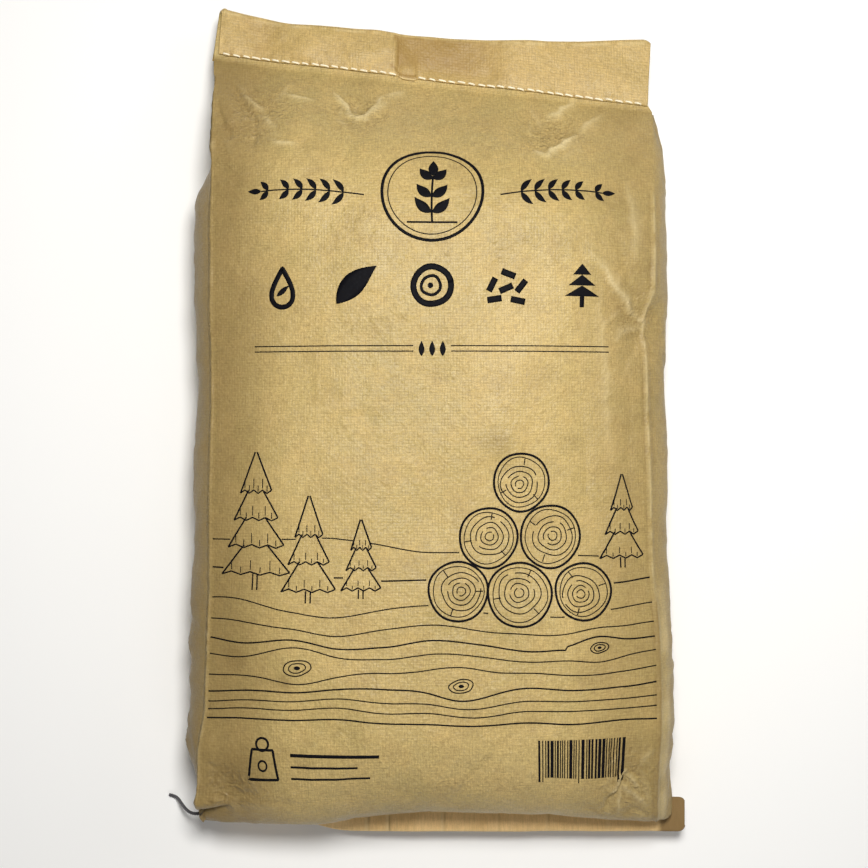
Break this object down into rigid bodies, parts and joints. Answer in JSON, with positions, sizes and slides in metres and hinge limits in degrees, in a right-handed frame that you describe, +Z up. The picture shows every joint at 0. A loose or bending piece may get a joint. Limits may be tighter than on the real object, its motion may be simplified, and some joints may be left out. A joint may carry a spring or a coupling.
{
  "type": "cat litter bag",
  "caption": "Filled gusseted sack of wood cat litter, mouth folded over and sewn, bottom bound with crepe tape, lying on its back.",
  "frame": {"origin": "on the floor, under the middle of the sack with its tape and stitches, without the loose thread tail", "axes": "+X across the sack to the viewer's right, +Y from the bottom to the mouth, +Z up out of the printed front"},
  "size_m": [0.4617, 0.7282, 0.1302],
  "materials": {
    "kraft_film": "matte",
    "crepe_tape": "matte",
    "cream_thread": "matte",
    "dark_thread": "matte",
    "black_ink": "matte"
  },
  "bodies": {
    "root": {"sack": "kraft_film", "bottom_tape": "crepe_tape", "top_stitching": "cream_thread", "bottom_stitching": "dark_thread", "thread_tail": "dark_thread"}
  },
  "joints": []
}
